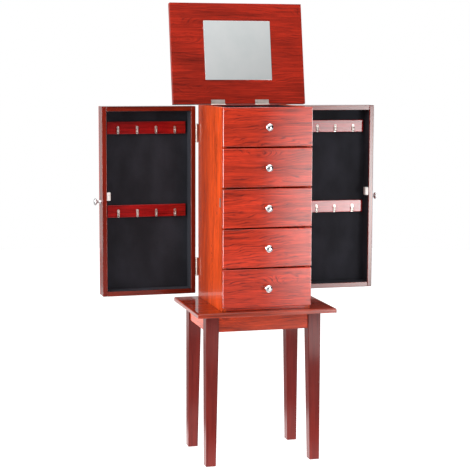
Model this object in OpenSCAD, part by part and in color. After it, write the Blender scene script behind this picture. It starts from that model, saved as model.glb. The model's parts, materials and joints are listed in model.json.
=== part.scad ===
// Jewelry armoire: a five-drawer cabinet with two side doors and a mirrored lid, on a four-legged stand.
// Millimetres. X runs across the front, +Y points to the back, +Z up, and the floor is z = 0.
// The origin lies on the floor under the middle of the armoire as it stands open.

/* [Stand] */
// Height of the stand's top surface above the floor
stand_h = 383.5; // [330:0.5:430]
// Width of the stand's top board
stand_w = 346; // [320:1:380]
// Depth of the stand's top board
stand_d = 263; // [255:1:300]
// Thickness of the stand's top board
stand_top_t = 11; // [9:0.5:18]
// Height of the chamfer round the stand's top board
stand_chamfer = 2.5; // [0.5:0.5:5]
// Distance across the outer faces of the legs
legs_w = 288.6; // [260:0.2:300]
// Distance from the front legs' front face to the back legs' back face
legs_d = 213; // [190:1:225]
// Side of a leg at the top
leg_t = 32; // [28:1:38]
// Side of a leg at the foot
foot_t = 25; // [18:1:28]
// Height of the aprons
apron_h = 42.5; // [35:0.5:60]
// Thickness of the aprons
apron_t = 18; // [12:1:20]
// How far the legs stand proud of the aprons
leg_proud = 3; // [1:0.5:5]

/* [Cabinet] */
// Height of the cabinet's top edge above the floor
cabinet_top = 870; // [860:1:960]
// Width over the side panels
cabinet_w = 220.6; // [200:0.2:240]
// Depth of the side panels
cabinet_d = 236.9; // [225:0.1:245]
// Thickness of the side panels
side_t = 12; // [10:1:14]
// Thickness of the back panel
back_t = 5; // [3:1:6]
// Depth of the compartment under the lid
tray_depth = 27; // [20:1:30]

/* [Drawers] */
// Thickness of a drawer front
front_t = 12; // [8:1:16]
// Gap between two drawer fronts
front_gap = 3; // [2:0.5:5]
// Height of the lowest drawer front's bottom edge above the stand
front_lift = 8.2; // [5:0.1:12]
// Depth of a drawer box
drawer_d = 210; // [150:5:210]
// Wall thickness of a drawer box
drawer_wall = 8; // [5:1:10]

/* [Doors] */
// Width of a door, measured along the cabinet's side
door_w = 239; // [225:1:245]
// Thickness of a door with its skin
door_t = 44; // [36:1:48]
// Thickness of the door's frame boards
door_frame_t = 12; // [9:1:14]
// Thickness of the door's outer skin
door_skin_t = 6; // [3:1:6]
// Angle that the doors stand open
door_open = 89; // [0:1:100]

/* [Lid] */
// Thickness of the lid
lid_t = 16; // [12:1:18]
// Depth of the lid
lid_d = 257.5; // [255:0.5:262]
// Width of the lid
lid_w = 346; // [330:1:360]
// Angle that the lid stands open
lid_open = 100; // [0:1:105]
// Width of the mirror
mirror_w = 175; // [120:1:220]
// Depth of the mirror
mirror_d = 151.5; // [100:0.5:160]

/* [Hidden] */

$fn = 48;
eps = 0.01;

// Planes of the cabinet and the stand, front to back
cabinet_back = 101;
cabinet_front = cabinet_back - cabinet_d;
face_y = cabinet_front - front_t;
stand_back = cabinet_back + 3.5;
stand_front = stand_back - stand_d;
legs_back = stand_back - 12;
legs_front = legs_back - legs_d;

// Heights of the stand
leg_top = stand_h - stand_top_t;
apron_bottom = leg_top - apron_h;
bolt_z = apron_bottom + apron_h / 2;

// Inside of the cabinet
inner_w = cabinet_w - 2 * side_t;
rail_h = 32;
front_rail_t = 10;
back_rail_t = 14;
tray_floor_t = rail_h - tray_depth;
bottom_t = 12;
lining_t = 1.5;
lining_drop = 2;

// Corner blocks and their bolts: distances from the inner faces of two aprons
block_reach = 24;
block_size = 44;
block_h = 30;
bolt_r = 3;
bolt_clearance = 0.05;
bolt_in_leg = 20;
washer_r = 7;
washer_t = 1.5;
nut_r = 5.6;
nut_t = 5;

// Drawers, counted from the top
drawer_count = 5;
fronts_bottom = stand_h + front_lift;
front_h = (cabinet_top - fronts_bottom - (drawer_count - 1) * front_gap) / drawer_count;
drawer_box_w = inner_w - 8.6;
drawer_box_lift = 14;
drawer_box_h = 64;
top_box_h = 44;
drawer_bottom_t = 4;
runner_w = 10;
runner_h = 8;
runner_gap = 0.3;
runner_d = cabinet_d - back_t - back_rail_t - 4;

// Doors: the hinge pins stand beside the cabinet's back corners
door_bottom = stand_h + front_lift;
door_top = cabinet_top - 3.5;
door_h = door_top - door_bottom;
door_mid = (door_top + door_bottom) / 2;
door_gap = 1;
door_barrel_r = 3.6;
door_pin_x = cabinet_w / 2 + 3.9;
door_pin_y = cabinet_back;
door_inner_x = cabinet_w / 2 + door_gap;
door_end_y = door_pin_y - door_barrel_r;
door_hinge_offset = 169.5;
door_hinge_l = 45;
door_hinge_knuckles = 5;
door_pin_r = 1.6;
door_leaf_t = 1.2;
door_leaf_w = 18;
frame_leaf_reach = 22;

// Fittings inside the doors
door_lining_t = 1;
door_rim_reveal = 3;
hook_rail_l = 202;
hook_rail_h = 31;
hook_rail_t = 6;
hook_rail_z = [door_mid + 183, door_mid - 26.5];
hook_count = 4;
hook_pitch = 48.6;
hook_drop = 5.5;
catch_w = 9;
catch_h = 20;
catch_d = 14;
catch_z = door_mid + 14;
strike_w = 16;
strike_h = 22;
strike_t = 0.8;

// Hinges of the lid: the pins run along the cabinet's back edge
lid_pin_y = cabinet_back + 2.5;
lid_pin_z = cabinet_top - 0.8;
lid_edge = 2.4;
lid_lift = 1.6;
lid_hinge_x = 57.7;
lid_hinge_l = 36;
lid_hinge_knuckles = 3;
lid_barrel_r = 2.2;
lid_pin_r = 1;
lid_leaf_t = 1;
lid_leaf_w = 13.2;
lid_leaf_z = 1.2;
frame_leaf_z = -0.2;
mirror_t = 3;
mirror_pocket = 3.2;
mirror_from_hinge = 61;

pin_clearance = 0.05;
knuckle_gap = 0.3;
mortise_gap = 0.05;

// Round knob: radii along its length
knob_l = 18;
knob_base_r = 5.5;
knob_neck_r = 3.4;
knob_head_r = 9;

wood = [0.62, 0.16, 0.10];
dark_wood = [0.45, 0.12, 0.09];
plain_wood = [0.80, 0.65, 0.45];
velvet = [0.06, 0.06, 0.07];
steel = [0.78, 0.78, 0.76];

// A box between two opposite corners
module block(from, to) translate(from) cube(to - from);

// The same child on the left and on the right of the middle plane
module both_sides() {
    children();
    mirror([1, 0, 0]) children();
}

// ---- Stand ----

module stand_top() color(wood) hull() {
    block([-stand_w / 2, stand_front, leg_top], [stand_w / 2, stand_back, stand_h - stand_chamfer]);
    block([-stand_w / 2 + stand_chamfer, stand_front + stand_chamfer, leg_top],
        [stand_w / 2 - stand_chamfer, stand_back - stand_chamfer, stand_h]);
}

// Outline of a leg seen from the front or the side, straight outside and tapered inside
module leg_outline() polygon([
    [0, 0], [foot_t, 0], [leg_t, apron_bottom], [leg_t, leg_top], [0, leg_top]
]);

// A leg with its outer corner on the Z axis and its inner corner towards +X and +Y
module leg() color(dark_wood) difference() {
    intersection() {
        translate([0, leg_t, 0]) rotate([90, 0, 0]) linear_extrude(leg_t) leg_outline();
        rotate([90, 0, 90]) linear_extrude(leg_t) leg_outline();
    }
    translate([leg_t, leg_t, bolt_z]) rotate([0, 90, 225])
        cylinder(r = bolt_r + bolt_clearance, h = bolt_in_leg + 0.5);
}

module front_left_leg() translate([-legs_w / 2, legs_front, 0]) leg();
module front_right_leg() mirror([1, 0, 0]) front_left_leg();
module back_left_leg() translate([-legs_w / 2, legs_back, 0]) mirror([0, 1, 0]) leg();
module back_right_leg() mirror([1, 0, 0]) back_left_leg();

module long_apron() color(wood)
    block([-legs_w / 2 + leg_t, 0, apron_bottom], [legs_w / 2 - leg_t, apron_t, leg_top]);
module front_apron() translate([0, legs_front + leg_proud, 0]) long_apron();
module back_apron() translate([0, legs_back - leg_proud - apron_t, 0]) long_apron();
module left_apron() color(wood)
    block([-legs_w / 2 + leg_proud, legs_front + leg_t, apron_bottom],
        [-legs_w / 2 + leg_proud + apron_t, legs_back - leg_t, leg_top]);
module right_apron() mirror([1, 0, 0]) left_apron();

// The children four times, at the corners where the aprons' inner faces meet
module at_inner_corners() {
    inset = leg_proud + apron_t;
    both_sides() {
        translate([-legs_w / 2 + inset, legs_front + inset, 0]) children();
        translate([-legs_w / 2 + inset, legs_back - inset, 0]) mirror([0, 1, 0]) children();
    }
}

module corner_blocks() color(plain_wood) at_inner_corners() difference() {
    translate([0, 0, bolt_z - block_h / 2]) linear_extrude(block_h)
        polygon([[block_reach, 0], [block_size, 0], [0, block_size], [0, block_reach]]);
    translate([0, 0, bolt_z]) rotate([0, 90, 45])
        cylinder(r = bolt_r + bolt_clearance, h = block_size);
}

// Hanger bolts with a washer and a nut, from each corner block into its leg
module leg_bolts() color(steel) at_inner_corners() {
    leg_corner = (leg_t - leg_proud - apron_t) * sqrt(2);
    block_back = block_size / sqrt(2);
    translate([0, 0, bolt_z]) rotate([0, 90, 45]) {
        translate([0, 0, leg_corner - bolt_in_leg])
            cylinder(r = bolt_r, h = block_back + washer_t + nut_t + 3 - leg_corner + bolt_in_leg);
        translate([0, 0, block_back]) cylinder(r = washer_r, h = washer_t);
        translate([0, 0, block_back + washer_t]) cylinder(r = nut_r, h = nut_t, $fn = 6);
    }
}

// ---- Cabinet ----

module left_side_panel() color(wood) difference() {
    block([-cabinet_w / 2, cabinet_front, stand_h], [-cabinet_w / 2 + side_t, cabinet_back, cabinet_top]);
    strike_plate(strike_t + 0.2, mortise_gap);
}
module right_side_panel() color(wood) mirror([1, 0, 0]) left_side_panel();

module back_panel() color(wood) difference() {
    block([-inner_w / 2, cabinet_back - back_t, stand_h], [inner_w / 2, cabinet_back, cabinet_top]);
    lid_hinge_mortises();
}

module bottom_panel() color(wood)
    block([-inner_w / 2, cabinet_front, stand_h],
        [inner_w / 2, cabinet_back - back_t, stand_h + bottom_t]);

// The front rail hides behind the top drawer's front, and the back rail carries the lid's hinges
module top_rails() color(wood) difference() {
    union() {
        block([-inner_w / 2, cabinet_front, cabinet_top - rail_h],
            [inner_w / 2, cabinet_front + front_rail_t, cabinet_top]);
        block([-inner_w / 2, cabinet_back - back_t - back_rail_t, cabinet_top - rail_h],
            [inner_w / 2, cabinet_back - back_t, cabinet_top]);
    }
    lid_hinge_mortises();
}

module tray_floor() color(wood)
    block([-inner_w / 2, cabinet_front + front_rail_t, cabinet_top - rail_h],
        [inner_w / 2, cabinet_back - back_t - back_rail_t, cabinet_top - rail_h + tray_floor_t]);

// Planes of the compartment under the lid
tray_front = cabinet_front + front_rail_t;
tray_back = cabinet_back - back_t - back_rail_t;
tray_bottom = cabinet_top - tray_depth;
divider_x = 28;
divider_t = 3;
divider_h = 20;

module tray_lining() color(velvet) {
    difference() {
        block([-inner_w / 2, tray_front, tray_bottom], [inner_w / 2, tray_back, cabinet_top - lining_drop]);
        block([-inner_w / 2 + lining_t, tray_front + lining_t, tray_bottom + lining_t],
            [inner_w / 2 - lining_t, tray_back - lining_t, cabinet_top]);
    }
    block([divider_x, tray_front + lining_t, tray_bottom + lining_t],
        [divider_x + divider_t, tray_back - lining_t, tray_bottom + lining_t + divider_h]);
}

roll_r = 9;
roll_gap = 0.3;
roll_count = floor((tray_back - tray_front - 2 * lining_t) / (2 * roll_r + roll_gap));

// A row of soft rolls that hold rings between them
module ring_rolls() color(velvet) {
    row_d = roll_count * (2 * roll_r + roll_gap);
    first_y = (tray_front + tray_back - row_d) / 2 + roll_r + roll_gap / 2;
    for (i = [0 : roll_count - 1])
        translate([-inner_w / 2 + lining_t + 1, first_y + i * (2 * roll_r + roll_gap),
            tray_bottom + lining_t + roll_r]) rotate([0, 90, 0])
            cylinder(r = roll_r, h = divider_x + inner_w / 2 - lining_t - 2);
}

module drawer_runners() color(plain_wood) both_sides() for (i = [1 : drawer_count])
    translate([-inner_w / 2, cabinet_front + 2,
        drawer_bottom(i) + drawer_box_lift - runner_gap - runner_h])
        cube([runner_w, runner_d, runner_h]);

// A plate let into the outside of the left panel, where the door's catch meets it
module strike_plate(thick, grow) {
    catch_y = door_end_y - door_w + door_frame_t + catch_w / 2;
    translate([-cabinet_w / 2 - eps, catch_y - 3 - grow, catch_z - strike_h / 2 - grow])
        cube([thick + eps, strike_w + 2 * grow, strike_h + 2 * grow]);
}

module side_strike_plates() color(steel) both_sides()
    translate([0.2, 0, 0]) strike_plate(strike_t, 0);

// ---- Hinges ----

// The knuckles of one leaf, every second one along the pin
module knuckles(length, count, first, radius) {
    pitch = length / count;
    for (i = [first : 2 : count - 1]) translate([0, 0, i * pitch + knuckle_gap / 2])
        cylinder(r = radius, h = pitch - knuckle_gap);
}

// Room for the other leaf's knuckles
module knuckle_room(length, count, first, radius) {
    pitch = length / count;
    for (i = [first : 2 : count - 1]) translate([0, 0, i * pitch - knuckle_gap / 2])
        cylinder(r = radius + knuckle_gap, h = pitch + knuckle_gap);
}

// A leaf whose plate lies between two corners, with the pin along Z from the origin
module leaf(length, count, first, radius, pin_r, from, to) difference() {
    union() {
        block([from[0], from[1], knuckle_gap / 2], [to[0], to[1], length - knuckle_gap / 2]);
        knuckles(length, count, first, radius);
    }
    knuckle_room(length, count, 1 - first, radius);
    translate([0, 0, -1]) cylinder(r = pin_r + pin_clearance, h = length + 2);
}

// A pin with a flat head at each end
module hinge_pin(length, radius) {
    head_t = 1.2;
    cylinder(r = radius, h = length);
    for (z = [-head_t, length]) translate([0, 0, z]) cylinder(r = radius + 0.9, h = head_t);
}

// The children at the two hinges of the left door
module at_door_hinges() for (side = [-1, 1])
    translate([-door_pin_x, door_pin_y, door_mid + side * door_hinge_offset - door_hinge_l / 2])
        children();

module door_hinge_frame_leaves() color(steel) both_sides() at_door_hinges()
    leaf(door_hinge_l, door_hinge_knuckles, 0, door_barrel_r, door_pin_r,
        [2.2, 0], [frame_leaf_reach, door_leaf_t]);

module door_hinge_pins() color(steel) both_sides() at_door_hinges()
    hinge_pin(door_hinge_l, door_pin_r);

// The children along the pins of the lid's two hinges, with the leaf's plane along their X
module at_lid_hinges() for (side = [-1, 1])
    translate([side * lid_hinge_x - lid_hinge_l / 2, lid_pin_y, lid_pin_z])
        rotate([90, 0, 90]) children();

module lid_hinge_frame_leaves() color(steel) at_lid_hinges()
    leaf(lid_hinge_l, lid_hinge_knuckles, 0, lid_barrel_r, lid_pin_r,
        [-lid_leaf_w, frame_leaf_z], [-1.2, frame_leaf_z + lid_leaf_t]);

module lid_hinge_pins() color(steel) at_lid_hinges() hinge_pin(lid_hinge_l, lid_pin_r);

// Pockets for the frame leaves of the lid's hinges in the cabinet's top edge
module lid_hinge_mortises() at_lid_hinges()
    translate([-lid_leaf_w - mortise_gap, frame_leaf_z, -mortise_gap])
        cube([lid_leaf_w + 1, lid_leaf_t + 1, lid_hinge_l + 2 * mortise_gap]);

// ---- Lid ----

// Turns what is drawn for the closed lid to where it stands open
module open_lid() translate([0, lid_pin_y, lid_pin_z]) rotate([-lid_open, 0, 0])
    translate([0, -lid_pin_y, -lid_pin_z]) children();

lid_back = lid_pin_y - lid_edge;
lid_bottom = lid_pin_z + lid_lift;

module lid_panel() color(wood) open_lid() difference() {
    block([-lid_w / 2, lid_back - lid_d, lid_bottom], [lid_w / 2, lid_back, lid_bottom + lid_t]);
    mirror_shape(mirror_pocket, 0.3);
    at_lid_hinges() translate([-lid_leaf_w - mortise_gap, 0, -mortise_gap])
        cube([lid_leaf_w + 1, lid_leaf_z + lid_leaf_t + mortise_gap, lid_hinge_l + 2 * mortise_gap]);
}

module mirror_shape(thick, grow)
    translate([-mirror_w / 2 - grow, lid_back - mirror_from_hinge - mirror_d - grow,
        lid_bottom + mirror_pocket - thick - (grow > 0 ? 1 : 0)])
        cube([mirror_w + 2 * grow, mirror_d + 2 * grow, thick + (grow > 0 ? 1 : 0)]);

module mirror_glass() color(steel) open_lid() mirror_shape(mirror_t, 0);

module lid_hinge_lid_leaves() color(steel) open_lid() at_lid_hinges()
    leaf(lid_hinge_l, lid_hinge_knuckles, 1, lid_barrel_r, lid_pin_r,
        [-lid_leaf_w, lid_leaf_z], [0, lid_leaf_z + lid_leaf_t]);

// ---- Doors ----
// A door is drawn with its inner plane at x = 0, its skin towards +X, and its hinged edge at y = 0.

// Turns what is drawn for the closed left door to where it stands open
module open_left_door() translate([-door_pin_x, door_pin_y, 0]) rotate([0, 0, -door_open])
    translate([door_pin_x, -door_pin_y, 0]) children();

module on_left_door() open_left_door() translate([-door_inner_x, door_end_y, 0])
    rotate([0, 0, 180]) children();

module on_right_door() mirror([1, 0, 0]) on_left_door() children();

frame_d = door_t - door_skin_t;

module door_frame() color(wood) {
    for (y = [0, door_w - door_frame_t]) translate([0, y, door_bottom])
        cube([frame_d, door_frame_t, door_h]);
    for (z = [door_bottom, door_top - door_frame_t]) translate([0, door_frame_t, z])
        cube([frame_d, door_w - 2 * door_frame_t, door_frame_t]);
}

module door_skin() color(wood) translate([frame_d, 0, door_bottom]) cube([door_skin_t, door_w, door_h]);

// A thin tray of velvet-covered card inside the door's frame
module door_lining() color(velvet) difference() {
    block([door_rim_reveal, door_frame_t, door_bottom + door_frame_t],
        [frame_d, door_w - door_frame_t, door_top - door_frame_t]);
    block([0, door_frame_t + door_lining_t, door_bottom + door_frame_t + door_lining_t],
        [frame_d - lining_t, door_w - door_frame_t - door_lining_t,
            door_top - door_frame_t - door_lining_t]);
    translate([0, door_w - door_frame_t - catch_w, catch_z - catch_h / 2]) cube([catch_d, catch_w, catch_h]);
}

rail_back_x = frame_d - lining_t;

module hook_rails() color(wood) for (z = hook_rail_z)
    translate([rail_back_x - hook_rail_t, (door_w - hook_rail_l) / 2, z - hook_rail_h / 2])
        cube([hook_rail_t, hook_rail_l, hook_rail_h]);

hook_plate_w = 6;
hook_plate_h = 20;
hook_plate_t = 1;
hook_wire_r = 1.3;
hook_bend_r = 4;
hook_stem = 3;
hook_up = 4;
hook_ball_r = 2.1;

// A hook with its plate against the plane x = 0 and its prong towards -X
module hook() {
    plate_l = hook_plate_h - hook_plate_w;
    translate([-hook_plate_t, -hook_plate_w / 2, -plate_l / 2]) cube([hook_plate_t, hook_plate_w, plate_l]);
    for (z = [-plate_l / 2, plate_l / 2]) translate([-hook_plate_t, 0, z]) rotate([0, 90, 0])
        cylinder(r = hook_plate_w / 2, h = hook_plate_t);
    translate([0, 0, -plate_l / 2]) {
        translate([-hook_plate_t - hook_stem, 0, 0]) rotate([0, 90, 0])
            cylinder(r = hook_wire_r, h = hook_stem + hook_plate_t / 2);
        translate([-hook_plate_t - hook_stem, 0, hook_bend_r]) rotate([90, 0, 0])
            rotate([0, 0, 180]) rotate_extrude(angle = 90) translate([hook_bend_r, 0]) circle(hook_wire_r);
        translate([-hook_plate_t - hook_stem - hook_bend_r, 0, hook_bend_r]) {
            cylinder(r = hook_wire_r, h = hook_up);
            translate([0, 0, hook_up]) sphere(hook_ball_r);
        }
    }
}

module door_hooks() color(steel) for (z = hook_rail_z, i = [0 : hook_count - 1])
    translate([rail_back_x - hook_rail_t, door_w / 2 + (i - (hook_count - 1) / 2) * hook_pitch, z - hook_drop])
        hook();

// A round knob that stands on the plane z = 0
module knob() color(steel) {
    head_c = knob_l - 5.5;
    rotate_extrude() union() {
        square([knob_base_r, 1.5]);
        square([knob_neck_r, head_c]);
        intersection() {
            translate([0, head_c]) scale([1, 5.5 / knob_head_r]) circle(knob_head_r);
            square([knob_head_r, knob_l]);
        }
    }
}

// On the edge board that faces forwards when the door is closed
module door_knob() translate([door_t / 2, door_w, door_mid]) rotate([-90, 0, 0]) knob();

module door_catch() color(steel)
    translate([0.3, door_w - door_frame_t - catch_w, catch_z - catch_h / 2])
        cube([catch_d - 0.3, catch_w, catch_h]);

// Leaves screwed to the end board, beside the pins
module door_hinge_leaves() color(steel) open_left_door() at_door_hinges()
    leaf(door_hinge_l, door_hinge_knuckles, 1, door_barrel_r, door_pin_r,
        [-door_leaf_w, -door_barrel_r], [0, -door_barrel_r + door_leaf_t]);

// ---- Drawers ----

function drawer_bottom(i) = fronts_bottom + (drawer_count - i) * (front_h + front_gap);
function box_h(i) = i == 1 ? top_box_h : drawer_box_h;

module drawer_front(i) color(wood) translate([-cabinet_w / 2, face_y, drawer_bottom(i)])
    cube([cabinet_w, front_t, front_h]);

module drawer_box(i) color(plain_wood) translate([0, cabinet_front, drawer_bottom(i) + drawer_box_lift])
    difference() {
        block([-drawer_box_w / 2, 0, 0], [drawer_box_w / 2, drawer_d, box_h(i)]);
        block([-drawer_box_w / 2 + drawer_wall, drawer_wall, drawer_bottom_t],
            [drawer_box_w / 2 - drawer_wall, drawer_d - drawer_wall, box_h(i) + 1]);
    }

module drawer_knob(i) translate([0, face_y, drawer_bottom(i) + front_h / 2]) rotate([90, 0, 0]) knob();

stand_top();
front_apron();
back_apron();
left_apron();
right_apron();
front_left_leg();
front_right_leg();
back_left_leg();
back_right_leg();
corner_blocks();
leg_bolts();
left_side_panel();
right_side_panel();
back_panel();
bottom_panel();
top_rails();
tray_floor();
tray_lining();
ring_rolls();
drawer_runners();
side_strike_plates();
door_hinge_frame_leaves();
door_hinge_pins();
lid_hinge_frame_leaves();
lid_hinge_pins();
lid_panel();
mirror_glass();  // mirror
lid_hinge_lid_leaves();
on_left_door() door_frame();  // left_door_frame
on_left_door() door_skin();  // left_door_skin
on_left_door() door_lining();  // left_door_lining
on_left_door() hook_rails();  // left_hook_rails
on_left_door() door_hooks();  // left_hooks
on_left_door() door_knob();  // left_door_knob
on_left_door() door_catch();  // left_door_catch
door_hinge_leaves();  // left_door_hinge_leaves
on_right_door() door_frame();  // right_door_frame
on_right_door() door_skin();  // right_door_skin
on_right_door() door_lining();  // right_door_lining
on_right_door() hook_rails();  // right_hook_rails
on_right_door() door_hooks();  // right_hooks
on_right_door() door_knob();  // right_door_knob
on_right_door() door_catch();  // right_door_catch
mirror([1, 0, 0]) door_hinge_leaves();  // right_door_hinge_leaves
drawer_front(1);  // drawer_1_front
drawer_box(1);  // drawer_1_box
drawer_knob(1);  // drawer_1_knob
drawer_front(2);  // drawer_2_front
drawer_box(2);  // drawer_2_box
drawer_knob(2);  // drawer_2_knob
drawer_front(3);  // drawer_3_front
drawer_box(3);  // drawer_3_box
drawer_knob(3);  // drawer_3_knob
drawer_front(4);  // drawer_4_front
drawer_box(4);  // drawer_4_box
drawer_knob(4);  // drawer_4_knob
drawer_front(5);  // drawer_5_front
drawer_box(5);  // drawer_5_box
drawer_knob(5);  // drawer_5_knob
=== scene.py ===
"""Looks of the jewelry armoire.

Lacquered cherry veneer, velvet linings, chrome knobs and a mirrored lid.
"""

import json
import math

import bmesh
import bpy
from mathutils import Matrix, Vector

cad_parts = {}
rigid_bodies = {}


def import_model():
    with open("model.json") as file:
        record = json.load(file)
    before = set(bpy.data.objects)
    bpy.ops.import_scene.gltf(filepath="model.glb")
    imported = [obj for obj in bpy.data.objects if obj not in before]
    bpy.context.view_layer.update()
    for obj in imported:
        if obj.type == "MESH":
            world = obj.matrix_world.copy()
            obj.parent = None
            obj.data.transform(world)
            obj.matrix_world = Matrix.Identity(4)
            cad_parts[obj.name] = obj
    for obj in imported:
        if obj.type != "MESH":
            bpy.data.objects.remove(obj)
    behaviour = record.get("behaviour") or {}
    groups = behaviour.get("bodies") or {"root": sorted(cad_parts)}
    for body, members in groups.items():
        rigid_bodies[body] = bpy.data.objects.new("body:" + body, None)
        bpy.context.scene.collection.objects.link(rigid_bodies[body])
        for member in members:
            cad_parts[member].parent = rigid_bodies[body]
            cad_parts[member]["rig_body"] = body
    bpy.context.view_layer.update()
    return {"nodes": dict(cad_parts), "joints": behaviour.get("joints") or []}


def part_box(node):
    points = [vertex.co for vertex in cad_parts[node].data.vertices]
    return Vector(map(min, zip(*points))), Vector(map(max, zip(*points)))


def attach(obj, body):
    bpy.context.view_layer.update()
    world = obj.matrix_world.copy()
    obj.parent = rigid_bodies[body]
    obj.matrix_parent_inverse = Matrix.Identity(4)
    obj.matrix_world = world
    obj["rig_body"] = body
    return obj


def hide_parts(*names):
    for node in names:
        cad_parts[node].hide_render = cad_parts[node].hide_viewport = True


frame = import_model()
NODES = frame["nodes"]
JOINTS = {j["child"]: j for j in frame["joints"]}
DRAWERS = range(1, 6)
MM = 0.001

# ---- Camera ----
CAMERA_AT = (-0.939906, -3.33405, 0.969714)
CAMERA_YAW = -0.259758
CAMERA_PITCH = -0.114111
CAMERA_ROLL = 0.0026884
FRAME_PX = 470
FOCAL_PX = 1402.1
CENTRE_PX = (229.997, 225.382)
SENSOR_WIDTH = 36
CLIP = (0.1, 60)


def make_camera():
    yaw, pitch, roll = CAMERA_YAW, CAMERA_PITCH, CAMERA_ROLL
    ahead = Vector(
        (-math.sin(yaw) * math.cos(pitch), math.cos(yaw) * math.cos(pitch), math.sin(pitch))
    )
    right = Vector((math.cos(yaw), math.sin(yaw), 0))
    up = right.cross(ahead)
    side = right * math.cos(roll) + up * math.sin(roll)
    top = up * math.cos(roll) - right * math.sin(roll)
    data = bpy.data.cameras.new("camera")
    data.sensor_width = SENSOR_WIDTH
    data.lens = FOCAL_PX / FRAME_PX * data.sensor_width
    data.shift_x = (FRAME_PX / 2 - CENTRE_PX[0]) / FRAME_PX
    data.shift_y = (CENTRE_PX[1] - FRAME_PX / 2) / FRAME_PX
    data.clip_start, data.clip_end = CLIP
    camera = bpy.data.objects.new("camera", data)
    turn = Matrix((side, top, -ahead)).transposed()
    camera.matrix_world = Matrix.Translation(CAMERA_AT) @ turn.to_4x4()
    bpy.context.scene.collection.objects.link(camera)
    bpy.context.scene.camera = camera


# ---- Materials ----
class Net:
    """The node tree of one material while it is built."""

    def __init__(self, name):
        self.material = bpy.data.materials.new(name)
        self.material.use_nodes = True
        self.tree = self.material.node_tree
        self.tree.nodes.clear()
        self.shader = self.add("BsdfPrincipled")
        out = self.add("OutputMaterial")
        self.tree.links.new(self.shader.outputs[0], out.inputs[0])
        split = self.add("SeparateXYZ")
        self.put(split.inputs[0], self.add("TexCoord").outputs["Object"])
        self.xyz = list(split.outputs)

    def add(self, kind, **settings):
        node = self.tree.nodes.new("ShaderNode" + kind)
        for key, value in settings.items():
            setattr(node, key, value)
        return node

    def put(self, socket, value):
        if isinstance(value, bpy.types.NodeSocket):
            self.tree.links.new(value, socket)
        else:
            socket.default_value = value

    def math(self, operation, *values):
        node = self.add("Math", operation=operation)
        for socket, value in zip(node.inputs, values):
            self.put(socket, value)
        return node.outputs[0]

    def vector(self, scales, shift, order=(0, 1, 2)):
        """Object coordinates in metres, in some order, each times its scale and shifted."""
        node = self.add("CombineXYZ")
        for k in range(3):
            part = self.math("MULTIPLY", self.xyz[order[k]], scales[k])
            self.put(node.inputs[k], self.math("ADD", part, shift * (k + 1)))
        return node.outputs[0]

    def noise(self, vector, detail, rough):
        node = self.add("TexNoise")
        self.put(node.inputs["Vector"], vector)
        self.put(node.inputs["Scale"], 1.0)
        self.put(node.inputs["Detail"], detail)
        self.put(node.inputs["Roughness"], rough)
        return node.outputs["Fac"]

    def cell(self, vector):
        """Distance to the nearest of some scattered points."""
        node = self.add("TexVoronoi")
        self.put(node.inputs["Vector"], vector)
        self.put(node.inputs["Scale"], 1.0)
        return node.outputs["Distance"]

    def fit(self, value, low, high, to_low=0.0, to_high=1.0):
        """A value from low to high, made smooth and moved to another range."""
        node = self.add("MapRange", interpolation_type="SMOOTHSTEP")
        for socket, v in zip(node.inputs, (value, low, high, to_low, to_high)):
            self.put(socket, v)
        return node.outputs[0]

    def ramp(self, value, *stops):
        node = self.add("ValToRGB")
        band = node.color_ramp
        band.interpolation = "EASE"
        while len(band.elements) < len(stops):
            band.elements.new(0.5)
        for element, (place, colour) in zip(band.elements, stops):
            element.position = place
            element.color = (*colour, 1)
        self.put(node.inputs[0], value)
        return node.outputs[0]

    def mix(self, amount, a, b):
        node = self.add("Mix", data_type="RGBA")
        self.put(node.inputs[0], amount)
        for socket, colour in ((node.inputs[6], a), (node.inputs[7], b)):
            self.put(socket, (*colour, 1) if isinstance(colour, tuple) else colour)
        return node.outputs[2]

    def bump(self, height, strength, distance, socket="Normal"):
        node = self.add("Bump")
        self.put(node.inputs["Height"], height)
        self.put(node.inputs["Strength"], strength)
        self.put(node.inputs["Distance"], distance)
        self.put(self.shader.inputs[socket], node.outputs[0])

    def set(self, **sockets):
        for name, value in sockets.items():
            key = name.replace("_", " ").title().replace("Ior", "IOR")
            if isinstance(value, tuple):
                value = (*value, 1)
            self.put(self.shader.inputs[key], value)
        return self.material


# The order of object coordinates that puts a grain direction first
GRAIN = {"x": (0, 1, 2), "y": (1, 0, 2), "z": (2, 0, 1)}

# Veneer figure: noise scales are cells a metre, along the grain and across it
BEND_SCALE, BEND_RADIANS = (2.6, 8, 8), 44.0
RIPPLE_SCALE, RIPPLE_RADIANS = (26, 75, 75), 4.5
KNOT_SCALE, KNOT_REACH, KNOT_RADIANS = (6.5, 15, 15), 0.42, 12.0
KNOT_CORE, KNOT_DARKNESS = 0.09, 0.7
VEIN_RADIANS_A_METRE = 430.0
VEIN_SHARPNESS, VEIN_PLACES = 9.0, ((16, 85, 85), 0.4, 0.62)
HAIR_RATIO, HAIR_SHARPNESS, HAIR_DARKNESS = 2.35, 5.0, 0.6
HAIR_PLACES = ((24, 120, 120), 0.38, 0.62)
PATCH_SCALE, PATCH_SHARE = (5.0, 22, 22), 0.25
FIBRE_SCALE, FIBRE_SHARE = (14, 420, 420), 0.35
STREAK_SCALE, STREAK_SHARE = (7, 150, 150), 0.4
TONE_STOPS = (0.38, 0.48, 0.58)
PORE_SCALE, PORE_RANGE, PORE_DARKNESS = (90, 1700, 1700), (0.6, 0.72), 0.35
# Where painted shade darkens a board towards its back edge, from one Y to the other
BACK_SHADE_Y = (-0.12, 0.09)

# Veneer surface
GRAIN_BUMP = (0.12, 0.0002)
PEEL_SCALE, PEEL_BUMP = (55, 55, 55), (0.04, 0.0005)
WOOD_ROUGHNESS = (0.3, 0.46)
WOOD_SPECULAR, COAT_ROUGHNESS, COAT_IOR = 0.06, 0.08, 1.5


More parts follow.
